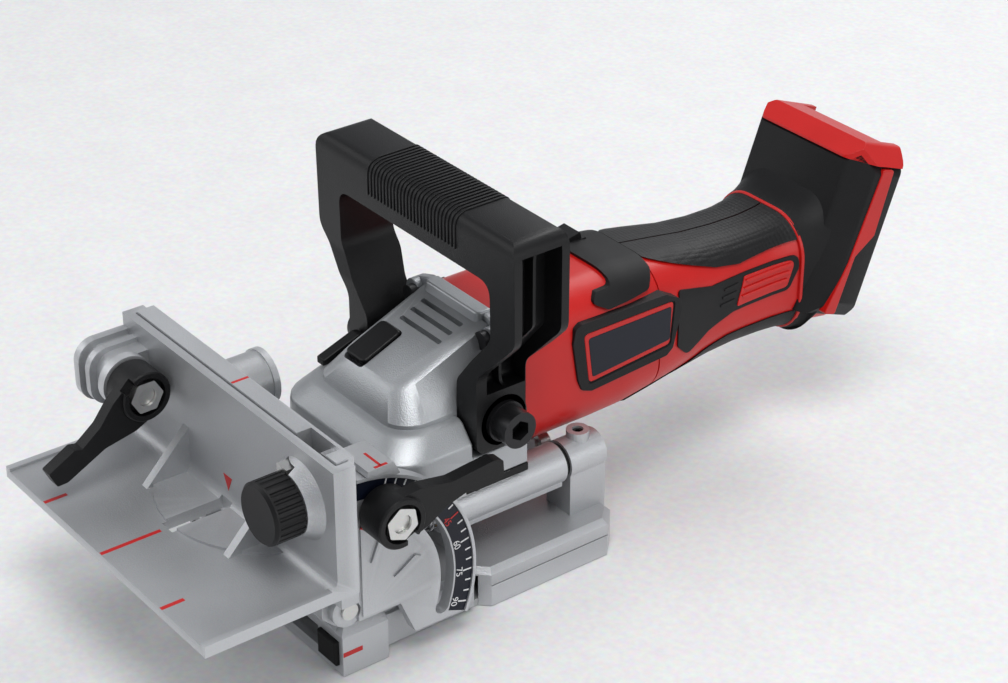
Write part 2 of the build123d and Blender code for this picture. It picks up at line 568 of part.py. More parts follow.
def handle_bolts():
    bolt = rod_x(BOLT_Y, MOTOR_Z, 27, 47, BOLT_R) + rod_x(BOLT_Y, MOTOR_Z, 47, 56, 8)
    return both(bolt - hex_bar_x(BOLT_Y, MOTOR_Z, 50, 57, 8))


# ------------------------------------------------------------------ motor unit: body
BODY_SECTIONS = [                            # y, half width, mid height, half height, corner radius
    (HOUSING_BACK, 32, 80, 34, 18), (165, 32, 80, 34, 18), (204, 28, 79, 30, 17),
    (240, 25, 77.5, 27, 16), (300, 25.5, 77, 28, 16),
]


def body_loft(grow=0.0, y_start=None):
    shapes = []
    for y, half_x, mid, half_z, corner in BODY_SECTIONS:
        if y_start is None or y >= y_start:
            shapes.append(rounded_section(y, half_x + grow, mid, half_z + grow, corner + grow))
    return loft(shapes, ruled=True)


def foot_place(shape):
    return Pos(0, FOOT_Y, FOOT_Z) * Rot(-FOOT_TILT, 0, 0) * shape


def foot_block(grow=0.0):
    g = grow
    return foot_place(Box(2 * (FOOT_HALF_X + g), 2 * (FOOT_HALF_Y + g), 2 * (FOOT_HALF_Z + g)))


def motor_shell():
    """The whole motor and grip housing, before it is split at the symmetry plane."""
    body = body_loft() - foot_block()
    body = body & box(-60, 60, HOUSING_BACK, FOOT_Y, 0, 200)
    body -= slab_x([(FOOT_Y - 16, 0), (400, 0), (400, 200), (FOOT_Y + 16, 200)], -60, 60)
    body -= rod_y(0, MOTOR_Z, 100, 176, 29.6)
    body -= rod_y(0, MOTOR_Z, 176, 199, 23)
    body -= rod_y(0, MOTOR_Z, 198, 209.5, 9.52)
    body -= box(-19, 19, 213, 262, 59, 95)
    body -= box(-23, -7, 147, 183, 111, 120)
    for x, z in HOUSING_SCREWS:
        body -= rod_y(x, z, 103, 112.5, 2.02)
    for y, z in SHELL_SCREWS:
        body -= rod_x(y, z, -20, 14, 1.65) + rod_x(y, z, -40, -19.9, 3.2)
    return body


SHELL_SCREWS = [(256, 60), (266, 92), (222, 56.5)]


def shell_screws():
    screws = []
    for y, z in SHELL_SCREWS:
        screws.append(rod_x(y, z, -19.9, 13.8, 1.6) + rod_x(y, z, -22.4, -19.9, 3))
    return Compound(children=screws)


def half(shape, side):
    return shape & box(0 if side > 0 else -90, 90 if side > 0 else 0, 0, 400, 0, 200)


def top_grip():
    cover = body_loft(1.4, 204) - body_loft(0.0, 204)
    cover = cover & box(-60, 60, 206, FOOT_Y, 84, 140)
    return cover - foot_block(0.3) - slab_x([(FOOT_Y - 16, 0), (400, 0), (400, 200), (FOOT_Y + 16, 200)], -60, 60)


def side_badges():
    """Raised black frames for a blank label, one each side of the motor."""
    outline = [(134, 70), (134, 91), (141, 97), (161, 97), (161, 66), (138, 66)]
    return both(slab_x(outline, 32, 33.6))


def battery_foot():
    body = Box(2 * FOOT_HALF_X, 2 * FOOT_HALF_Y, 2 * FOOT_HALF_Z)
    body = fillet(body.edges().filter_by(Axis.Z), 5)
    back = FOOT_HALF_Y
    body -= box(-25, 25, back - 9, back + 1, -32, FOOT_HALF_Z + 1)
    body -= both(box(25, 28.5, back - 7.5, back - 3.5, -32, FOOT_HALF_Z + 1))
    body -= box(-18, 18, -FOOT_HALF_Y - 1, -FOOT_HALF_Y + 12, -26, 14)
    return foot_place(body)


def foot_trim():
    top = box(-30, 30, -12, 5.8, FOOT_HALF_Z, FOOT_HALF_Z + 1.2)
    stripe = box(FOOT_HALF_X, FOOT_HALF_X + 0.8, -2, 7, -36, 30)
    return foot_place(top) + foot_place(both(stripe))


def terminal_block():
    back = FOOT_HALF_Y
    body = box(-12, 12, back - 9, back - 1.5, -24, 12)
    for x in CONTACT_X:
        body -= box(x - 0.6, x + 0.6, back - 7, back, -22, 10)
    return foot_place(body)


CONTACT_X = (-8.0, -2.7, 2.7, 8.0)


def battery_contacts():
    back = FOOT_HALF_Y
    blades = [foot_place(box(x - 0.5, x + 0.5, back - 6.9, back - 2, -20, 8)) for x in CONTACT_X]
    return Compound(children=blades)


def stator():
    return ring_y(120, 172, 29.5, 18)


def armature():
    shaft = rod_y(0, MOTOR_Z, SPINDLE_Y + CROWN_R - 2, 208, 3.0) + rod_y(0, MOTOR_Z, 84.2, 206, 3.98)
    return shaft + rod_y(0, MOTOR_Z, 122, 170, 17.4) + rod_y(0, MOTOR_Z, 180, 196, 11)


def cooling_fan():
    fan = ring_y(105.5, 107.5, 26, 4.02) + ring_y(105.5, 116, 8, 4.02)
    vane = box(-1, 1, 107, 115, MOTOR_Z + 7, MOTOR_Z + 25.5)
    for i in range(12):
        fan += Pos(0, 0, MOTOR_Z) * Rot(0, i * 30, 0) * Pos(0, 0, -MOTOR_Z) * vane
    return fan


def motor_bearings():
    return ring_y(84.2, 90.9, 11, 4.0) + ring_y(200, 206, 9.5, 4.0)


def brush_holders():
    holder = box(11.6, 22, 184, 192, MOTOR_Z - 4, MOTOR_Z + 4)
    return both(holder)


def control_board():
    return box(-16, 16, 216, 258, 74, 82)


def switch_slider():
    pad = box(-21, -9, 160, 176, 111.2, 115)
    ridge = slab_x([(162, 115), (174, 115), (173, 118), (165, 116.5)], -20.5, -9.5)
    return pad + ridge


# ------------------------------------------------------------------ depth stop
STOP_X = TURRET_X + STEP_CIRCLE * math.cos(math.radians(STOP_ANGLE))
STOP_Z = TURRET_Z + STEP_CIRCLE * math.sin(math.radians(STOP_ANGLE))
TURRET_FRONT, TURRET_FACE = 84.3, 94.0


def depth_turret():
    """Six-step stop wheel; the lowest step faces the stop screw at rest."""
    wheel = rod_y(TURRET_X, TURRET_Z, TURRET_FRONT, TURRET_FACE, TURRET_R)
    for i in range(18):
        a = math.radians(i * 20)
        wheel -= rod_y(TURRET_X + (TURRET_R + 0.4) * math.cos(a), TURRET_Z + (TURRET_R + 0.4) * math.sin(a),
                       TURRET_FRONT - 1, 91, 1)
    for i, height in enumerate(STEP_HEIGHTS):
        if height:
            a = math.radians(STOP_ANGLE + 60 * i)
            x, z = TURRET_X + STEP_CIRCLE * math.cos(a), TURRET_Z + STEP_CIRCLE * math.sin(a)
            wheel += rod_y(x, z, TURRET_FACE - 1, TURRET_FACE + height, 2.6)
    return wheel - rod_y(TURRET_X, TURRET_Z, 80, 92, 3) - rod_y(TURRET_X, TURRET_Z, 91, 101, 4.9)


def stop_screw():
    tip = TURRET_FACE + PLUNGE + 0.3
    screw = rod_y(STOP_X, STOP_Z, tip, 136, 2.45)
    return screw + rod_y(STOP_X, STOP_Z, 131, 136, 5.5)


PARTS = {
    "base_casting": base_casting, "base_cover": base_cover, "cover_screws": cover_screws,
    "grip_pads": grip_pads, "guide_rods": guide_rods, "rod_setscrews": rod_setscrews,
    "rod_bumpers": rod_bumpers, "return_springs": return_springs, "pivot_pins": pivot_pins,
    "angle_index": angle_index, "angle_clamp_stud": angle_clamp_stud,
    "dust_duct": dust_duct, "dust_spigot": dust_spigot, "turret_screw": turret_screw,
    "tilt_bracket": tilt_bracket, "angle_scale": angle_scale, "height_rack": height_rack,
    "fence_plate": fence_plate, "height_detent": height_detent, "height_clamp_bolt": height_clamp_bolt,
    "pinion_shaft": pinion_shaft, "height_knob": height_knob,
    "height_lever": lambda: clamp_lever(*HEIGHT_LEVER), "height_lever_nut": lambda: lever_nut(*HEIGHT_LEVER),
    "angle_lever": lambda: clamp_lever(*ANGLE_LEVER), "angle_lever_nut": lambda: lever_nut(*ANGLE_LEVER),
    "gear_housing": gear_housing, "housing_screws": housing_screws, "lock_button": lock_button,
    "slide_carriage": slide_carriage, "slide_bushings": slide_bushings,
    "spindle_bearings": spindle_bearings, "bearing_retainer": bearing_retainer, "spindle": spindle,
    "crown_gear": crown_gear, "motor_pinion": motor_pinion, "inner_flange": inner_flange,
    "saw_blade": saw_blade, "outer_flange": outer_flange, "d_handle": d_handle,
    "handle_washers": handle_washers, "handle_bolts": handle_bolts,
    "shell_near": lambda: half(motor_shell(), 1), "shell_far": lambda: half(motor_shell(), -1),
    "shell_screws": shell_screws, "top_grip": top_grip, "side_badges": side_badges,
    "battery_foot": battery_foot, "foot_trim": foot_trim, "terminal_block": terminal_block,
    "battery_contacts": battery_contacts, "stator": stator, "armature": armature,
    "cooling_fan": cooling_fan, "motor_bearings": motor_bearings, "brush_holders": brush_holders,
    "control_board": control_board, "switch_slider": switch_slider,
    "depth_turret": depth_turret, "stop_screw": stop_screw,
}

os.makedirs("parts", exist_ok=True)
for name, build in PARTS.items():
    save(name, build())
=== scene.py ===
import math

import bmesh
import bpy
from mathutils import Matrix, Vector


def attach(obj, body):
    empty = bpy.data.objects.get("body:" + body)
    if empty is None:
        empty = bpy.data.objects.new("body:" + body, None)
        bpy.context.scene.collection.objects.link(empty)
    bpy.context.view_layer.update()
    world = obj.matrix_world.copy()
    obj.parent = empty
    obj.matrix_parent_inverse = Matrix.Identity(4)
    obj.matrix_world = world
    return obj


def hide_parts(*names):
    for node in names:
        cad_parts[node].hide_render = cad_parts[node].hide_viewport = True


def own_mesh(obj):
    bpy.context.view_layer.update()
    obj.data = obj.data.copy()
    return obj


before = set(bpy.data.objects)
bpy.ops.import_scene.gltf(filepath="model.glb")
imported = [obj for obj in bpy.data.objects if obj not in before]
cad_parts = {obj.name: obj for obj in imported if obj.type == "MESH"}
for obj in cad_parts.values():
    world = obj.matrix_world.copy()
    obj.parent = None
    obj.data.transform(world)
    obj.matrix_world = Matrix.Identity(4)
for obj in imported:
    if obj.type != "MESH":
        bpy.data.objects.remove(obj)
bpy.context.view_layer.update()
MM = 0.001


# ------------------------------------------------------------------ materials
def surface(name, color, metallic=0.0, rough=0.45, grain=1600.0, bump=0.15, vary=0.12, edge_highlight=0.0, coat=0.0,
            streak=None):
    """Layered noise material: broad tone drift, fine grain bump, a broken-up roughness and an optional painted
    highlight on convex edges.
    """
    mat = bpy.data.materials.new(name)
    mat.use_nodes = True
    nodes, links = mat.node_tree.nodes, mat.node_tree.links
    bsdf = nodes["Principled BSDF"]
    coord = nodes.new("ShaderNodeTexCoord")
    scale = nodes.new("ShaderNodeMapping")
    links.new(coord.outputs["Object"], scale.inputs["Vector"])
    if streak:
        scale.inputs["Scale"].default_value = streak
    tone = nodes.new("ShaderNodeTexNoise")
    tone.inputs["Scale"].default_value = 34
    tone.inputs["Detail"].default_value = 6
    fine = nodes.new("ShaderNodeTexNoise")
    fine.inputs["Scale"].default_value = grain
    fine.inputs["Detail"].default_value = 3
    for tex in (tone, fine):
        links.new(scale.outputs["Vector"], tex.inputs["Vector"])
    ramp = nodes.new("ShaderNodeValToRGB")
    dark = [c * (1 - vary) for c in color]
    light = [min(1.0, c * (1 + vary)) for c in color]
    ramp.color_ramp.elements[0].position = 0.3
    ramp.color_ramp.elements[0].color = (*dark, 1)
    ramp.color_ramp.elements[1].position = 0.72
    ramp.color_ramp.elements[1].color = (*light, 1)
    links.new(tone.outputs["Fac"], ramp.inputs["Fac"])
    speck = nodes.new("ShaderNodeMixRGB")
    speck.blend_type = "MULTIPLY"
    speck.inputs["Fac"].default_value = 0.25
    links.new(ramp.outputs["Color"], speck.inputs["Color1"])
    links.new(fine.outputs["Color"], speck.inputs["Color2"])
    spread = nodes.new("ShaderNodeMapRange")
    spread.inputs["To Min"].default_value = max(0.02, rough - 0.07)
    spread.inputs["To Max"].default_value = min(1.0, rough + 0.09)
    links.new(tone.outputs["Fac"], spread.inputs["Value"])
    relief = nodes.new("ShaderNodeBump")
    relief.inputs["Strength"].default_value = bump
    relief.inputs["Distance"].default_value = 0.0004
    links.new(fine.outputs["Fac"], relief.inputs["Height"])
    links.new(speck.outputs["Color"], bsdf.inputs["Base Color"])
    links.new(spread.outputs["Result"], bsdf.inputs["Roughness"])
    links.new(relief.outputs["Normal"], bsdf.inputs["Normal"])
    bsdf.inputs["Metallic"].default_value = metallic
    bsdf.inputs["Coat Weight"].default_value = coat
    # painted highlight: convex edges, picked out by pointiness, get a lighter tint of the colour
    if edge_highlight:
        edge = nodes.new("ShaderNodeNewGeometry")
        highlight_mask = nodes.new("ShaderNodeMapRange")
        highlight_mask.inputs["From Min"].default_value = 0.53
        highlight_mask.inputs["From Max"].default_value = 0.6
        highlight_mask.inputs["To Max"].default_value = edge_highlight
        bright = nodes.new("ShaderNodeMixRGB")
        bright.inputs["Color2"].default_value = (*[min(1.0, c * 1.35 + 0.05) for c in color], 1)
        links.new(edge.outputs["Pointiness"], highlight_mask.inputs["Value"])
        links.new(highlight_mask.outputs["Result"], bright.inputs["Fac"])
        links.new(speck.outputs["Color"], bright.inputs["Color1"])
        links.new(bright.outputs["Color"], bsdf.inputs["Base Color"])
    return mat


def dotted(mat, pitch):
    """Adds a moulded dot grid to a material's relief."""
    nodes, links = mat.node_tree.nodes, mat.node_tree.links
    cells = nodes.new("ShaderNodeTexVoronoi")
    cells.inputs["Scale"].default_value = 1 / pitch
    cells.inputs["Randomness"].default_value = 0.0
    coord = nodes.new("ShaderNodeTexCoord")
    links.new(coord.outputs["Object"], cells.inputs["Vector"])
    relief = nodes.new("ShaderNodeBump")
    relief.invert = True
    relief.inputs["Strength"].default_value = 0.5
    relief.inputs["Distance"].default_value = 0.0005
    links.new(cells.outputs["Distance"], relief.inputs["Height"])
    grain = next(n for n in nodes if n.type == "BUMP" and n != relief)
    links.new(grain.outputs["Normal"], relief.inputs["Normal"])
    links.new(relief.outputs["Normal"], nodes["Principled BSDF"].inputs["Normal"])
    return mat


# the eighth argument of each material is the strength of its painted highlight on convex edges
CAST = surface("cast_alloy_satin", (0.50, 0.51, 0.525), 0.6, 0.38, 1500, 0.4, 0.05, 0.35)
CAST_GREY = surface("cast_alloy_gearbox", (0.42, 0.435, 0.45), 0.65, 0.36, 1900, 0.35, 0.06, 0.3)
COVER = surface("cover_sheet", (0.50, 0.51, 0.52), 0.5, 0.45, 1300, 0.25, 0.06)
RED = surface("red_nylon", (0.58, 0.009, 0.007), 0.0, 0.34, 2400, 0.16, 0.06, 0.0, 0.05)
BLACK = surface("black_nylon", (0.0055, 0.0055, 0.006), 0.0, 0.40, 2200, 0.28, 0.25)
SOFT = surface("black_overmould", (0.0085, 0.0085, 0.009), 0.0, 0.50, 2600, 0.35, 0.25)
SOFT_DOTS = dotted(surface("black_overmould_dots", (0.0085, 0.0085, 0.009), 0.0, 0.48, 2600, 0.2, 0.2), 0.0021)
RUBBER = surface("black_rubber", (0.008, 0.008, 0.008), 0.0, 0.62, 1400, 0.3, 0.3)
STEEL = surface("bright_steel", (0.62, 0.62, 0.63), 1.0, 0.24, 900, 0.1, 0.06, 0.2, 0.0, (1, 12, 12))
ZINC = surface("zinc_plate", (0.66, 0.66, 0.64), 1.0, 0.30, 1100, 0.14, 0.08, 0.2)
BLACK_OXIDE = surface("black_oxide_steel", (0.020, 0.020, 0.022), 0.6, 0.33, 1200, 0.16, 0.2, 0.1)
NAVY = surface("navy_label", (0.003, 0.005, 0.014), 0.0, 0.34, 3000, 0.06, 0.2)
PAINT_RED = surface("red_paint", (0.55, 0.012, 0.012), 0.0, 0.45, 1800, 0.2, 0.1)
PAINT_WHITE = surface("white_print", (0.82, 0.82, 0.82), 0.0, 0.5, 1800, 0.1, 0.04)
IRON = surface("laminated_iron", (0.22, 0.22, 0.23), 0.8, 0.5, 500, 0.5, 0.15, 0.0, 0.0, (1, 30, 1))
COPPER = surface("copper_alloy", (0.72, 0.38, 0.18), 1.0, 0.3, 900, 0.15, 0.1)
BRONZE = surface("sintered_bronze", (0.50, 0.34, 0.16), 1.0, 0.45, 1300, 0.35, 0.12)
BOARD = surface("coated_board", (0.02, 0.12, 0.05), 0.0, 0.3, 700, 0.3, 0.3)
for dull, level in ((BLACK, 0.26), (SOFT, 0.22), (SOFT_DOTS, 0.26), (RUBBER, 0.2), (NAVY, 0.3), (RED, 0.35)):
    dull.node_tree.nodes["Principled BSDF"].inputs["Specular IOR Level"].default_value = level

FINISH = {
    "base_casting": CAST, "base_cover": COVER, "cover_screws": BLACK_OXIDE, "grip_pads": RUBBER,
    "guide_rods": STEEL, "rod_setscrews": BLACK_OXIDE, "rod_bumpers": RUBBER, "return_springs": STEEL,
    "pivot_pins": ZINC, "angle_index": CAST, "angle_clamp_stud": ZINC, "dust_duct": CAST, "dust_spigot": CAST,
    "turret_screw": BLACK_OXIDE, "tilt_bracket": CAST, "angle_scale": NAVY, "height_rack": STEEL,
    "fence_plate": CAST, "height_detent": ZINC, "height_clamp_bolt": ZINC, "height_knob": BLACK,
    "pinion_shaft": STEEL, "height_lever": BLACK, "height_lever_nut": ZINC, "angle_lever": BLACK,
    "angle_lever_nut": ZINC, "gear_housing": CAST_GREY, "housing_screws": BLACK_OXIDE,
    "slide_carriage": CAST, "slide_bushings": BRONZE, "spindle_bearings": STEEL,
    "bearing_retainer": ZINC, "d_handle": BLACK, "handle_washers": BLACK_OXIDE, "handle_bolts": BLACK_OXIDE,
    "shell_near": RED, "shell_far": RED, "shell_screws": BLACK_OXIDE, "top_grip": SOFT,
    "side_badges": SOFT, "battery_foot": SOFT, "foot_trim": RED, "terminal_block": BLACK,
    "battery_contacts": COPPER, "stator": IRON, "motor_bearings": STEEL, "brush_holders": COPPER,
    "control_board": BOARD, "stop_screw": ZINC, "armature": IRON, "cooling_fan": BLACK,
    "motor_pinion": STEEL, "spindle": STEEL, "crown_gear": STEEL, "inner_flange": ZINC,
    "saw_blade": STEEL, "outer_flange": ZINC, "lock_button": BLACK, "switch_slider": BLACK,
    "depth_turret": BLACK,
}
SOFTENED = {"base_casting": 0.8, "tilt_bracket": 0.6, "fence_plate": 0.7, "angle_index": 0.6,
            "slide_carriage": 0.6, "dust_duct": 0.8, "dust_spigot": 1.0, "height_knob": 0.3, "handle_bolts": 0.5,
            "height_detent": 0.4, "pivot_pins": 0.4, "depth_turret": 0.3, "stop_screw": 0.3}


# ------------------------------------------------------------------ mesh helpers
def build(name, verts, faces):
    """A mesh object from points in millimetres."""
    mesh = bpy.data.meshes.new(name)
    mesh.from_pydata([[c * MM for c in v] for v in verts], [], faces)
    mesh.validate()
    work = bmesh.new()
    work.from_mesh(mesh)
    bmesh.ops.remove_doubles(work, verts=work.verts, dist=1e-6)
    bmesh.ops.recalc_face_normals(work, faces=work.faces)
    work.to_mesh(mesh)
    work.free()
    obj = bpy.data.objects.new(name, mesh)
    bpy.context.collection.objects.link(obj)
    return obj


def soften(obj, width, segments=3, angle=32):
    bevel = obj.modifiers.new("edges", "BEVEL")
    bevel.width = width * MM
    bevel.segments = segments
    bevel.limit_method = "ANGLE"
    bevel.angle_limit = math.radians(angle)
    bevel.harden_normals = True
    bevel.use_clamp_overlap = True


def smooth(obj, angle=35):
    obj.data.polygons.foreach_set("use_smooth", [True] * len(obj.data.polygons))
    obj.data.set_sharp_from_angle(angle=math.radians(angle))


def done(obj, mat, body, nodes=(), bevel=0.0, angle=35, segments=3):
    """Finish, edge softening, the body it rides on and the CAD nodes it stands for."""
    obj.data.materials.clear()
    obj.data.materials.append(mat)
    smooth(obj, angle)
    if bevel:
        soften(obj, bevel, segments)
    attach(obj, body)
    if nodes:
        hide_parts(*nodes)
    return obj


def loft(name, rings):
    """Skin over closed rings with equal point counts, capped at both ends."""
    count = len(rings[0])
    verts = [p for ring in rings for p in ring]
    faces = []
    for i in range(len(rings) - 1):
        for j in range(count):
            k = (j + 1) % count
            faces.append((i * count + j, i * count + k, (i + 1) * count + k, (i + 1) * count + j))
    faces.append(tuple(range(count))[::-1])
    faces.append(tuple((len(rings) - 1) * count + j for j in range(count)))
    return build(name, verts, faces)


def prism(name, outline, axis, low, high):
    """Extrusion of a 2D outline along X (y, z), Y (x, z) or Z (x, y)."""
    def place(u, v, w):
        return {"X": (w, u, v), "Y": (u, w, v), "Z": (u, v, w)}[axis]
    return loft(name, [[place(u, v, low) for u, v in outline], [place(u, v, high) for u, v in outline]])


def block(name, x0, x1, y0, y1, z0, z1):
    return prism(name, [(x0, y0), (x1, y0), (x1, y1), (x0, y1)], "Z", z0, z1)


def disc(name, axis, centre, radii, stops, sides=64):
    """Turned piece about an axis: one radius for each stop along it."""
    rings = []
    for r, w in zip(radii, stops):
        ring = []
        for i in range(sides):
            a = 2 * math.pi * i / sides
            u, v = r * math.cos(a), r * math.sin(a)
            ring.append({"X": (w, centre[0] + u, centre[1] + v), "Y": (centre[0] + u, w, centre[1] + v),
                         "Z": (centre[0] + u, centre[1] + v, w)}[axis])
        rings.append(ring)
    return loft(name, rings)


def rounded(outline, radius, steps=5):
    """The 2D outline with its corners rounded; radius is one number or one for each corner."""
    points = []
    n = len(outline)
    radii = radius if isinstance(radius, (list, tuple)) else [radius] * n
    for i in range(n):
        p, a, b = Vector(outline[i]), Vector(outline[i - 1]), Vector(outline[(i + 1) % n])
        r = radii[i]
        if r <= 0:
            points.append(tuple(p))
            continue
        u, v = (a - p).normalized(), (b - p).normalized()
        half = u.angle(v) / 2
        cut = min(r / math.tan(half), (a - p).length * 0.49, (b - p).length * 0.49)
        for s in range(steps + 1):
            t = s / steps
            q = (p + u * cut) * (1 - t) ** 2 + p * 2 * t * (1 - t) + (p + v * cut) * t ** 2
            points.append(tuple(q))
    return points


def carve(obj, other, operation):
    """obj combined with other, which is used up."""
    step = obj.modifiers.new("carve", "BOOLEAN")
    step.operation = operation
    step.object = other
    step.solver = "EXACT"
    bpy.context.view_layer.update()
    graph = bpy.context.evaluated_depsgraph_get()
    made = bpy.data.meshes.new_from_object(obj.evaluated_get(graph))
    obj.modifiers.clear()
    obj.data = made
    bpy.data.objects.remove(other)
    return obj


def mirrored(points):
    """The 2D outline's points and their mirror images across x = 0, as one closed outline."""
    return points + [(-x, z) for x, z in reversed(points)]


def copy_mirrored(obj, name):
    """A second piece, mirrored across the symmetry plane."""
    twin = bpy.data.objects.new(name, obj.data.copy())
    bpy.context.collection.objects.link(twin)
    twin.data.transform(Matrix.Scale(-1, 4, (1, 0, 0)))
    twin.data.flip_normals()
    return twin


# ------------------------------------------------------------------ CAD nodes shown as they are
for node_name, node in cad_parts.items():
    node.data.materials.clear()
    node.data.materials.append(FINISH[node_name])
    if node_name in SOFTENED:
        soften(node, SOFTENED[node_name], 2, 40)


# ------------------------------------------------------------------ motor body
BODY = [                                     # y, half width, mid height, half height, corner radius
    (104.0, 32.0, 80.0, 34.0, 20.0), (150.0, 32.2, 80.0, 34.0, 20.0), (168.0, 31.8, 80.0, 33.8, 20.0),
    (186.0, 29.8, 79.6, 32.0, 19.0), (204.0, 27.6, 79.0, 29.8, 18.0), (222.0, 25.8, 78.0, 27.8, 18.0),
    (240.0, 25.0, 77.4, 26.8, 18.0), (256.0, 25.2, 77.0, 26.8, 18.0), (266.0, 26.0, 77.2, 27.4, 18.0),
    (274.0, 27.6, 77.6, 28.6, 18.0), (292.0, 31.0, 79.0, 31.0, 18.0),
]


def section(y, half_x, mid, half_z, corner, tilt=0.0, steps=10):
    """Rounded rectangle round the Y axis; tilt leans its top towards +Y, in degrees."""
    points = []
    lean = math.tan(math.radians(tilt))
    for cx, cz, start in ((1, 1, 0), (-1, 1, 90), (-1, -1, 180), (1, -1, 270)):
        for i in range(steps + 1):
            a = math.radians(start + 90 * i / steps)
            x = cx * (half_x - corner) + corner * math.cos(a)
            z = cz * (half_z - corner) + corner * math.sin(a)
            points.append((x, y + z * lean, mid + z))
    return points


def body_at(y):
    """Section sizes at y, eased between the listed ones."""
    for a, b in zip(BODY, BODY[1:]):
        if a[0] <= y <= b[0]:
            t = (y - a[0]) / (b[0] - a[0])
            return [p + (q - p) * t for p, q in zip(a[1:], b[1:])]
    return list(BODY[-1][1:])


def body_solid(name, grow, y0, y1, step=3.0):
    rings = []
    count = max(2, round((y1 - y0) / step))
    for i in range(count + 1):
        y = y0 + (y1 - y0) * i / count
        half_x, mid, half_z, corner = body_at(y)
        rings.append(section(y, half_x + grow, mid, half_z + grow, corner + grow))
    return loft(name, rings)


def patch(name, grow, outline, mat, nodes=(), bevel=0.5, seam=False):
    """Overmoulded skin: the body grown a little, cut to a side outline in (y, z), with a top seam or not."""
    ys = [p[0] for p in outline]
    skin = body_solid(name, grow, max(104, min(ys) - 4), min(292, max(ys) + 4))
    carve(skin, prism(name + "_cut", outline, "X", -60, 60), "INTERSECT")
    if seam:
        carve(skin, block("grip_seam", -0.45, 0.45, 180, 290, 100, 150), "DIFFERENCE")
    return done(skin, mat, "motor_unit", nodes, bevel, 40, 2)


shell = body_solid("motor_shell", 0.0, 104.2, 292)
groove = carve(body_solid("seam_out", 2.0, 186, 186.9), body_solid("seam_in", -0.7, 183, 190), "DIFFERENCE")
carve(shell, groove, "DIFFERENCE")
for i in range(4):
    y = 112 + 5.2 * i
    vent = prism("side_vent", rounded([(y, 60), (y + 2.4, 60), (y + 4.4, 74), (y + 2.0, 74)], 0.8), "X", -36, -27)
    carve(shell, vent, "DIFFERENCE")
carve(shell, prism("switch_well", rounded([(-22, 150), (-8, 150), (-8, 181), (-22, 181)], 3), "Z", 111, 122),
      "DIFFERENCE")
done(shell, RED, "motor_unit", ("shell_near", "shell_far"), 0.4, 40, 2)

patch("grip_overmould", 1.0, rounded(
    [(187.2, 112), (204, 105.6), (223, 98.6), (237, 96.0), (271.5, 98.0), (274, 112), (274, 145), (187.2, 145)],
    [0, 8, 8, 8, 2, 0, 0, 0]), SOFT_DOTS, ("top_grip",), seam=True)
patch("top_cap", 1.5, rounded(
    [(149, 107.5), (156, 103.6), (180, 104.2), (186.2, 110), (186.2, 145), (156, 145), (163, 110.5), (153, 110.5)],
    [1.5, 2, 4, 0, 0, 0, 3, 1.5]), SOFT)
patch("belly_overmould", 0.7, rounded(
    [(172, 50.4), (199, 51.6), (216, 60.0), (230, 63.0), (272, 63.0), (272, 40), (172, 40)],
    [0, 6, 6, 6, 2, 0, 0]), SOFT)
patch("side_inset", 0.8, rounded(
    [(197.5, 97.6), (219, 91.8), (269.4, 91.6), (269.8, 85), (265, 75.2), (232, 74.6), (217, 70.6), (204, 63.6),
     (197.5, 70)],
    [2, 5, 4, 4, 4, 5, 5, 4, 3]), SOFT)
patch("side_panel", 1.25, rounded([(238, 90.2), (267.6, 90.0), (263.6, 77.2), (234, 76.6)], [1, 3, 3, 1]), RED,
      bevel=0.3)
for i in range(3):
    z = 80.0 + 3.6 * i
    panel_rib = [(238 + i, z), (263.5 + i, z + 0.5), (263 + i, z + 1.9), (236 + i, z + 1.5)]
    patch(f"panel_rib_{i + 1}", 1.9, rounded(panel_rib, 0.6), RED, bevel=0.3)
    inset_rib = [(224 + i, z - 0.4), (233 + i, z), (232.6 + i, z + 1.3), (224 + i, z + 1)]
    patch(f"inset_rib_{i + 1}", 1.2, rounded(inset_rib, 0.5), SOFT, bevel=0.2)

LABEL = [(135.4, 94.5), (136.6, 101.0), (140, 102.6), (186, 101.6), (194, 97.2), (195.6, 92), (191, 74),
         (187.6, 71.2), (145.8, 68.6), (140.6, 70.6), (138.4, 76)]
badge = prism("badge_frame_near", rounded(LABEL, 2.2), "X", 27, 33.3)
inner = [(143.6, 94.6), (189.6, 94.8), (189.2, 78.6), (146.2, 75.0)]
HOLLOW = rounded([(140.8, 97.6), (191.4, 97.6), (189.6, 75.8), (144, 72.2)], 2.5)
hollow = prism("badge_hollow", HOLLOW, "X", 32.7, 40)
carve(badge, hollow, "DIFFERENCE")
TRIM = rounded([(141.4, 97), (190.8, 97), (189.2, 76.4), (144.6, 72.8)], 2.3)
trim = prism("badge_trim_near", TRIM, "X", 30, 32.95)
plate = prism("badge_plate_near", rounded(inner, 1.5), "X", 30, 33.2)
for piece, mat in ((badge, SOFT), (trim, RED), (plate, NAVY)):
    twin = copy_mirrored(piece, piece.name.replace("near", "far"))
    done(piece, mat, "motor_unit", ("side_badges",) if piece is badge else (), 0.4, 35, 2)
    done(twin, mat, "motor_unit", (), 0.4, 35, 2)

# ------------------------------------------------------------------ battery foot
FOOT_Y, FOOT_Z, FOOT_TILT = 297.5, 96.0, 21.0
DOCK = rounded([(-25, -32), (25, -32), (25, 60), (-25, 60)], 1)
FOOT_PLAN = rounded(mirrored([(36.9, 15.6), (36.9, -3.0), (27.5, -16.2)]), 5.0)


def foot_place(obj):
    turn = Matrix.Rotation(math.radians(-FOOT_TILT), 4, "X")
    obj.data.transform(Matrix.Translation((0, FOOT_Y * MM, FOOT_Z * MM)) @ turn)
    return obj


def foot_slab(name, y0, y1, half_x, z0, z1, chamfer, low_chamfer=8.0):
    outline = mirrored([(half_x, z0 + low_chamfer), (half_x, z1 - chamfer), (half_x - chamfer * 0.85, z1)])
    outline = [(half_x - low_chamfer * 0.7, z0)] + outline + [(-half_x + low_chamfer * 0.7, z0)]
    return prism(name, rounded(outline, 3.0, 4), "Y", y0, y1)


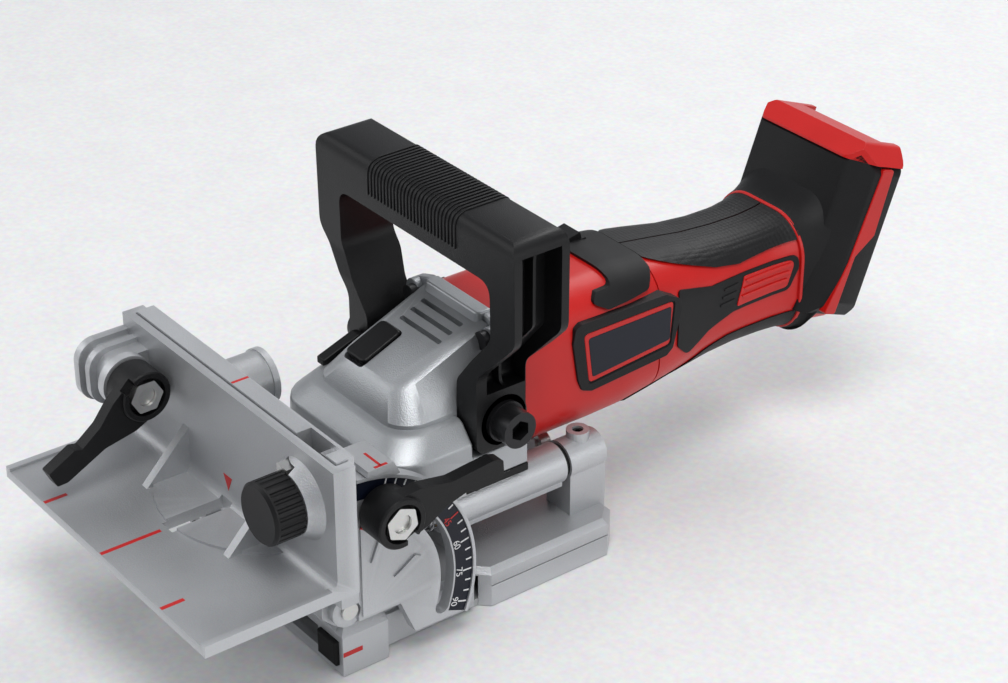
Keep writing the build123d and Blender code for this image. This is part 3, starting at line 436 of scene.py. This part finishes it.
foot = foot_slab("foot_body", -15.5, 15.3, 36.6, -40.6, 38.5, 9.0)
carve(foot, prism("dock_cut", DOCK, "Y", 6.5, 30), "DIFFERENCE")
for side in (-1, 1):
    rail_slot = block("rail_slot", side * 24.5 - 4, side * 24.5 + 4, 8, 12, -32, 60)
    carve(foot, rail_slot, "DIFFERENCE")
front_cut = [(-30, 31.4), (-15.5, 31.4), (-8, 38.6), (-8, 60), (-30, 60)]
carve(foot, prism("foot_front_cut", front_cut, "X", -60, 60), "DIFFERENCE")
carve(foot, prism("foot_plan", FOOT_PLAN, "Z", -60, 60), "INTERSECT")
foot_place(foot)
done(foot, SOFT, "motor_unit", ("battery_foot",), 2.0, 30, 4)
cap = foot_slab("foot_cap", -16.2, 15.6, 36.9, 0, 41.4, 9.0)
side_cut = [(-16.2, 32.6), (-16.2, 33.6), (-8.0, 41.4), (15.6, 41.4), (15.6, 33.0), (4, 33.0)]
carve(cap, prism("cap_profile", side_cut, "X", -60, 60), "INTERSECT")
carve(cap, prism("dock_cut", DOCK, "Y", 6.5, 30), "DIFFERENCE")
carve(cap, prism("foot_plan", FOOT_PLAN, "Z", -60, 60), "INTERSECT")
foot_place(cap)
done(cap, RED, "motor_unit", ("foot_trim",), 1.2, 30, 3)
STRIPE = [(316.0, 123.4), (309.2, 125.4), (291.1, 84.3), (277.8, 62.6), (284.6, 60.4), (295.1, 86.4),
          (306.4, 93.6)]
stripe = prism("foot_stripe_near", rounded(STRIPE, 1.5), "X", 30, 37.3)
done(copy_mirrored(stripe, "foot_stripe_far"), RED, "motor_unit", (), 0.5)
done(stripe, RED, "motor_unit", (), 0.5)

neck_rings = []
for y, half_x, mid, half_z, lean in (
        (271, 26.8, 77.4, 28.2, 0), (274.5, 27.6, 77.8, 28.8, 5), (278.5, 28.8, 79.2, 30.2, 10),
        (282, 29.8, 81.8, 32.8, 15), (285, 31.0, 85.4, 36.4, 19), (288, 32.2, 89.0, 38.0, 21),
        (292, 33.0, 92.0, 38.4, 21)):
    neck_rings.append(section(y, half_x + 0.9, mid, half_z + 0.9, 17, lean))
done(loft("foot_neck", neck_rings), SOFT, "motor_unit", (), 0.0, 60)
ring_line = carve(body_solid("ring_line", 1.5, 270.4, 272.0), body_solid("ring_core", -1, 266, 276), "DIFFERENCE")
done(ring_line, RED, "motor_unit", (), 0.4)

# ------------------------------------------------------------------ gear housing
ROOF = 0.41
ROOF_LEAN = math.atan(ROOF)
HANDLE_SEAT = (31.4, 70, 75.6, 101.6, 67, 130)   # x, y and z reach on the near side


def roof_z(y):
    return 110.2 + ROOF * (y - 92.1)


def on_roof(obj, x, y):
    """Turns a piece drawn flat at the origin onto the sloping roof."""
    turn = Matrix.Rotation(ROOF_LEAN, 4, "X")
    obj.data.transform(Matrix.Translation((x * MM, y * MM, roof_z(y) * MM)) @ turn)


def clear_handle_seats(obj):
    near, far, *reach = HANDLE_SEAT
    for side in (-1, 1):
        carve(obj, block("handle_seat", side * near, side * far, *reach), "DIFFERENCE")


def nose_ring(half_x, y_front, y_back, corner, height, steps=6):
    """Outline seen from above, with round front corners; height is a number or a function of y."""
    turns = [math.radians(90 * i / steps) for i in range(steps + 1)]
    near = [(half_x - corner + corner * math.sin(a), y_front + corner - corner * math.cos(a)) for a in turns]
    points = near + [(half_x, y_back), (-half_x, y_back)] + [(-x, y) for x, y in reversed(near)]
    return [(x, y, height(y) if callable(height) else height) for x, y in points]


skirt = loft("gear_skirt", [
    nose_ring(43.8, 35.6, 103.8, 17, 54.6), nose_ring(43.4, 36.2, 103.8, 17, 73.5),
    nose_ring(37.0, 43.5, 103.8, 15, 81.0), nose_ring(34.5, 46.4, 103.8, 14, 82.2)])
clear_handle_seats(skirt)
done(skirt, CAST_GREY, "motor_unit", ("gear_housing",), 1.6, 32, 3)
dome = loft("gear_dome", [
    nose_ring(32.4, 47.4, 103.6, 13, 78), nose_ring(32.2, 47.8, 103.6, 13, 84.0),
    nose_ring(22.0, 53.6, 99.5, 9, lambda y: roof_z(y) - 1.4), nose_ring(19.6, 56.0, 98.5, 8, roof_z)])
for y in (81.2, 86.7, 92.1):
    slot_cut = prism("vent", rounded([(-14, -1.1), (14, -1.1), (14, 1.1), (-14, 1.1)], 1.0), "Z", -5, 4)
    on_roof(slot_cut, 0, y)
    carve(dome, slot_cut, "DIFFERENCE")
pocket = prism("button_pocket", rounded([(-7.3, -12.4), (7.3, -12.4), (7.3, 11), (-7.3, 11)], 2.6), "Z", -7, 8)
on_roof(pocket, -12, 66)
carve(dome, pocket, "DIFFERENCE")
clear_handle_seats(dome)
done(dome, CAST_GREY, "motor_unit", (), 1.6, 32, 3)
COLLAR = mirrored([(20, 47), (31.2, 58), (33, 64), (33, 96), (30.5, 112), (21, 115.2)])
collar = prism("gear_collar", rounded(COLLAR, 4), "Y", 99.5, 104.1)
done(collar, CAST_GREY, "motor_unit", (), 0.8)
brow = loft("gear_brow", [nose_ring(19.5, 95.0, 103.9, 3, 104), nose_ring(18.5, 96.6, 103.9, 2.5, 116.2)])
done(brow, CAST_GREY, "motor_unit", (), 1.0)

for side in (-1, 1):
    for z in (107.5, 62):
        label = f"housing_screw_boss_{'near' if side > 0 else 'far'}_{round(z)}"
        screw = disc(label, "Y", (side * 26.6, z + 1), (4.6, 4.6, 3.8), (96.2, 103.5, 104), 32)
        done(screw, CAST_GREY, "motor_unit", (), 0.4)
TAB = [(55, 81.5), (58, 80.8), (76, 87), (76, 90.4), (73, 91), (55, 84.6)]
done(prism("far_side_tab", rounded(TAB, 0.8), "X", -39, -33.5), BLACK, "motor_unit", (), 0.6)
done(block("carriage_guard", -44.1, 44.1, 71, 103.8, 50.8, 54.9), BLACK, "motor_unit", (), 0.8)
BUTTON = rounded([(-6.8, -10.5), (6.8, -10.5), (6.8, 10.5), (-6.8, 10.5)], 2.6)
button = prism("lock_button_cap", BUTTON, "Z", -3, 1.4)
on_roof(button, -12, 66)
done(button, BLACK, "spindle_lock", ("lock_button",), 0.9, 30, 3)
pin = disc("lock_pin", "Z", (-11, 62), (2, 2), (74.4, 96), 24)
done(pin, STEEL, "spindle_lock", (), 0.3)

# ------------------------------------------------------------------ front handle
outer = [(45, 67.0), (45, 105), (68, 129), (68, 172.2)]
inner_side = [(-52, 150.5), (-52, 125), (-31.6, 99), (-31.6, 67.0)]
path = outer + [(-x, z) for x, z in reversed(outer)] + [(x, z) for x, z in reversed(inner_side)] + \
    [(-x, z) for x, z in inner_side]
corners = [3, 9, 9, 8, 8, 9, 9, 3, 3, 8, 10, 7, 7, 10, 8, 3]
handle = prism("front_handle", rounded(path, corners, 6), "Y", 76.2, 106)
side_view = [(76.2, 112), (76.2, 70), (83, 67.2), (97, 67.2), (101.2, 72), (101.2, 108), (104.6, 118),
             (104.6, 172.4), (77.2, 172.4), (78, 122)]
carve(handle, prism("handle_profile", rounded(side_view, [10, 9, 8, 8, 9, 10, 10, 4.5, 7, 10], 6), "X", -80, 80),
      "INTERSECT")
for side in (-1, 1):
    for y0, y1, depth in ((81.4, 100.8, 0), (81.4, 90.8, 1), (92.2, 100.8, 1)):
        line = [(80, 166.5), (57, 166.5), (57, 127.5), (35.8, 102), (35.8, 95.5), (80, 95.5)] if depth else \
            [(80, 166.5), (62.5, 166.5), (62.5, 131.5), (40.5, 106), (40.5, 95.5), (80, 95.5)]
        well = prism("handle_well", rounded([(side * x, z) for x, z in line], [0, 6, 5, 5, 4, 0], 5), "Y", y0, y1)
        carve(handle, well, "DIFFERENCE")
done(handle, BLACK, "motor_unit", ("d_handle",), 1.3, 30, 3)
for side in (-1, 1):
    label = f"handle_boss_{'near' if side > 0 else 'far'}"
    boss = disc(label, "X", (90, 81), (12.2, 12.2), sorted((side * 31.5, side * 45.0)), 64)
    done(boss, BLACK, "motor_unit", (), 0.8)
for i in range(27):
    x = (i - 13) * 2.3
    rib_path = rounded([(76.9, 157), (76.9, 172.8), (104.9, 172.8), (104.9, 157)], [0, 7.2, 4.8, 0], 6)
    rib = prism(f"grip_rib_{i + 1:02d}", rib_path, "X", x - 0.6, x + 0.6)
    done(rib, BLACK, "motor_unit", (), 0.3, 30, 2)


# ------------------------------------------------------------------ clamp levers
PIVOT_Y, PIVOT_Z = 0.5, 35.0                 # the fence bracket tilts about this
INDEX_ANGLE, SLOT_R = 18.1, 46.5             # degrees behind the vertical, and the clamp slot's radius


def lever(name, x, y, z, angle, body, nodes):
    """Lever with a round hub, a waisted arm and a thicker square tip."""
    turn = Matrix.Translation((x * MM, y * MM, z * MM)) @ Matrix.Rotation(math.radians(angle), 4, "X")
    arm_line = [(2, -10.6), (12, -8.6), (22, -4.6), (33, -3.2), (35.5, -5.6), (49.5, -6.0), (50.2, 1.6), (46, 3.8),
                (26, 5.0), (12, 9.8), (2, 10.6)]
    arm = prism(name, rounded(arm_line, [0, 4, 6, 1, 1.2, 1, 1.2, 3, 6, 6, 0]), "X", 7.2, 13.2)
    hub = disc(name + "_hub", "X", (0, 0), (10.2, 11, 11, 10.4), (0, 1.4, 14.4, 15), 64)
    carve(arm, hub, "UNION")
    carve(arm, disc("hub_bore", "X", (0, 0), (8.4, 8.4), (11.6, 20), 48), "DIFFERENCE")
    carve(arm, disc("hub_bore", "X", (0, 0), (4.3, 4.3), (-2, 20), 32), "DIFFERENCE")
    notch = prism("hub_notch", [(0, -13), (7, -13), (5.4, -5), (1.4, -5)], "X", 11.4, 20)
    carve(arm, notch, "DIFFERENCE")
    arm.data.transform(turn)
    done(arm, BLACK, body, nodes, 0.6, 35, 3)


lever("height_lever_body", -53.2, -26.4, 94.2, 210.7, "fence_clamp", ("height_lever",))
STUD = (PIVOT_Y + SLOT_R * math.sin(math.radians(INDEX_ANGLE)),
        PIVOT_Z + SLOT_R * math.cos(math.radians(INDEX_ANGLE)))
lever("angle_lever_body", 65.2, STUD[0], STUD[1], 8.6, "angle_clamp", ("angle_lever",))


# ------------------------------------------------------------------ painted marks and the angle scale
def mark(name, x0, x1, y0, y1, z0, z1, body, mat=PAINT_RED):
    return done(block(name, x0, x1, y0, y1, z0, z1), mat, body, (), 0.1, 35, 2)


mark("fence_mark_centre", -1.0, 1.0, -72.8, -45.8, 58, 58.58, "fence")
mark("fence_mark_left", -46.5, -44.5, -72.8, -62.5, 58, 58.58, "fence")
mark("fence_mark_right", 44.5, 46.5, -72.8, -62.5, 58, 58.58, "fence")
done(prism("fence_arrow", [(-3.2, 71.5), (3.2, 71.5), (0, 64.5)], "Y", -14.12, -13.5), PAINT_RED, "fence")
mark("carrier_mark", -0.7, 0.7, -9.6, -1.8, 112.6, 113.1, "tilt")
mark("base_mark", 57.2, 57.62, 0.2, 9.5, 9.3, 11.5, "base")
mark("index_mark_stem", 54, 65.2, 15.0, 16.2, 97.6, 98.12, "base")
mark("index_mark_head", 64.2, 65.6, 12.6, 18.6, 97.6, 98.12, "base")
done(prism("quadrant_arrow", [(4.9, 73.0), (9.0, 75.2), (9.0, 70.8)], "X", 64.8, 65.05), PAINT_RED, "tilt")
done(prism("quadrant_rib_1", [(9.3, 55.3), (13.4, 65.6), (15.4, 63.4)], "X", 64.4, 66.0), CAST, "tilt", (), 0.4)
done(prism("quadrant_rib_2", [(20.0, 44.4), (30.4, 51.0), (33.5, 49.4)], "X", 64.4, 65.9), CAST, "tilt", (), 0.4)
for i in range(19):
    angle = math.radians(INDEX_ANGLE + 5 * i)
    long_tick = i % 3 == 0
    inner_r = 54.3 if long_tick else 55.8
    turn = Matrix.Translation((0, PIVOT_Y * MM, PIVOT_Z * MM)) @ Matrix.Rotation(-angle, 4, "X")
    tick = block(f"scale_tick_{i * 5:02d}", 63.9, 64.12, -0.32, 0.32, inner_r, 58.4)
    tick.data.transform(turn)
    done(tick, PAINT_RED if i == 9 else PAINT_WHITE, "tilt")
    if long_tick:
        words = bpy.data.curves.new(f"scale_number_{i * 5:02d}", "FONT")
        words.body = str(i * 5)
        words.size = 4.3 * MM
        words.align_x, words.align_y = "CENTER", "CENTER"
        words.extrude = 0.05 * MM
        text = bpy.data.objects.new(words.name + "_text", words)
        bpy.context.collection.objects.link(text)
        bpy.context.view_layer.update()
        flat = bpy.data.meshes.new_from_object(text.evaluated_get(bpy.context.evaluated_depsgraph_get()))
        bpy.data.objects.remove(text)
        number = bpy.data.objects.new(words.name, flat)
        bpy.context.collection.objects.link(number)
        stand = Matrix(((0, 0, 1, 0), (1, 0, 0, 0), (0, 1, 0, 0), (0, 0, 0, 1)))
        number.data.transform(turn @ Matrix.Translation((64.08 * MM, 0, 52.3 * MM)) @ stand)
        done(number, PAINT_RED if i == 9 else PAINT_WHITE, "tilt")


# ------------------------------------------------------------------ springs
def coil(name, x, z, y0, y1, radius, wire, turns):
    verts, faces = [], []
    steps, sides = turns * 22, 8
    for i in range(steps + 1):
        a = 2 * math.pi * i / 22
        y = y0 + wire + (y1 - y0 - 2 * wire) * i / steps
        for j in range(sides):
            b = 2 * math.pi * j / sides
            r = radius + wire * math.cos(b)
            verts.append((x + r * math.cos(a), y + wire * math.sin(b), z + r * math.sin(a)))
    for i in range(steps):
        for j in range(sides):
            k = (j + 1) % sides
            faces.append((i * sides + j, i * sides + k, (i + 1) * sides + k, (i + 1) * sides + j))
    faces.append(tuple(range(sides)))
    faces.append(tuple(steps * sides + j for j in range(sides)))
    return build(name, verts, faces)


for side, label in ((-1, "far"), (1, "near")):
    spring = coil(f"return_spring_{label}", side * 35, 42, 34.2, 61.8, 6.2, 0.55, 6)
    done(spring, STEEL, "base", ("return_springs",) if side > 0 else ())
    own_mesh(spring)


# ------------------------------------------------------------------ studio
def studio():
    floor = build("floor", [(-3000, -3000, -0.3), (3000, -3000, -0.3), (3000, 3000, -0.3), (-3000, 3000, -0.3)],
                  [(0, 1, 2, 3)])
    floor.data.materials.append(surface("pale_floor", (0.86, 0.86, 0.86), 0.0, 0.75, 300, 0.02, 0.02))
    for name, place, size, power in (("key", (0.5, -0.2, 1.6), 0.8, 15), ("fill", (-1.1, -0.9, 0.9), 1.0, 5),
                                     ("back", (-0.5, 1.4, 1.2), 1.0, 12), ("side", (1.6, 0.6, 0.7), 0.9, 6)):
        lamp = bpy.data.lights.new(name, "AREA")
        lamp.size, lamp.energy = size, power
        holder = bpy.data.objects.new(name, lamp)
        bpy.context.collection.objects.link(holder)
        holder.location = place
        holder.rotation_euler = (Vector((0, 0.1, 0.07)) - Vector(place)).to_track_quat("-Z", "Y").to_euler()
    world = bpy.data.worlds.new("studio")
    bpy.context.scene.world = world
    world.use_nodes = True
    world.node_tree.nodes["Background"].inputs["Color"].default_value = (0.93, 0.95, 1.0, 1)
    world.node_tree.nodes["Background"].inputs["Strength"].default_value = 0.42
    bpy.context.scene.view_settings.view_transform = "Standard"
    eye = bpy.data.cameras.new("camera")
    eye.lens, eye.sensor_width = 89.4, 36.0
    camera = bpy.data.objects.new("camera", eye)
    bpy.context.collection.objects.link(camera)
    camera.location = (0.7327, -0.4359, 0.6133)
    camera.rotation_euler = Vector((-0.6893, 0.5272, -0.4970)).to_track_quat("-Z", "Y").to_euler()
    bpy.context.scene.camera = camera


studio()
